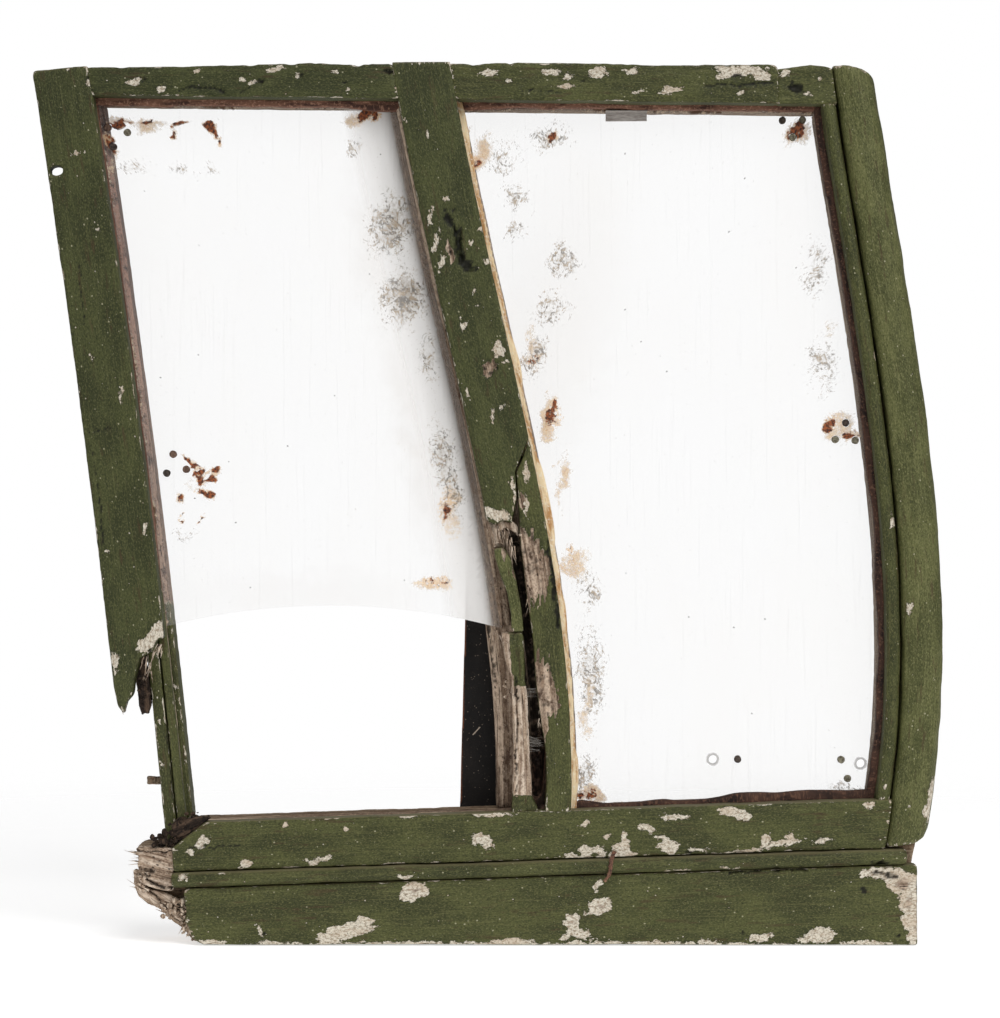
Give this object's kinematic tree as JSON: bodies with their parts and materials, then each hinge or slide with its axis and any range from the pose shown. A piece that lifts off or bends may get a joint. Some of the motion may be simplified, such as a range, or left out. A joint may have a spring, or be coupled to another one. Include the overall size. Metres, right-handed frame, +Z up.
{
  "type": "two-light timber side window",
  "caption": "Weathered green timber side window with curved pillars, two clear panes, a half-round sill bead and a broken-off left pane.",
  "frame": {"origin": "middle of the overall box at the underside of the sill", "axes": "+X to the right along the sill, +Z up, -Y out of the painted face"},
  "size_m": [0.5477, 0.0554, 0.53],
  "materials": {
    "painted_wood": "aged dark green gloss oil paint over wood, chipped to primer and bare wood",
    "bare_wood": "weathered grey-brown bare hardwood, split and rotted in places",
    "dark_wood": "black rotted wood",
    "clear_sheet": "clear sheet, hazed, with rust and sealant stains",
    "brown_bedding": "dark red-brown dried bedding compound, matt",
    "orange_bedding": "yellow-orange dried bedding compound, matt",
    "rubber_block": "black rubber",
    "tape": "grey translucent tape",
    "rusted_steel": "rusted steel",
    "black_steel": "dusty black paint on steel"
  },
  "bodies": {
    "root": {"core_left_stile": "painted_wood", "left_face_board": "painted_wood", "left_stile_bead": "painted_wood", "top_face_rail_left": "painted_wood", "top_face_rail_right": "painted_wood", "top_right_corner_block": "painted_wood", "mullion_face_board": "painted_wood", "mullion_right_strip": "painted_wood", "mullion_loose_splinter": "painted_wood", "right_inner_bead": "painted_wood", "right_outer_moulding": "painted_wood", "bottom_face_rail": "painted_wood", "sill_bead": "painted_wood", "sill_board": "painted_wood", "core_mullion": "bare_wood", "core_right_stile": "bare_wood", "core_top_rail": "bare_wood", "core_bottom_rail": "bare_wood", "joint_pegs": "bare_wood", "mullion_torn_wood": "bare_wood", "mullion_foot_strip": "bare_wood", "rail_end_stub": "bare_wood", "rail_end_splinter": "bare_wood", "left_mullion_bedding": "bare_wood", "left_foot_bedding": "bare_wood", "left_packing_fillet": "dark_wood", "corner_rot": "dark_wood", "left_pane": "clear_sheet", "right_pane": "clear_sheet", "left_head_bedding": "brown_bedding", "right_head_bedding": "brown_bedding", "right_stile_bedding": "brown_bedding", "right_foot_bedding": "brown_bedding", "right_mullion_bedding": "orange_bedding", "setting_blocks": "rubber_block", "repair_tape": "tape", "rear_screws": "rusted_steel", "stile_nail": "rusted_steel", "sill_nail": "rusted_steel", "strap_screws": "rusted_steel", "backing_strap": "black_steel"}
  },
  "joints": []
}
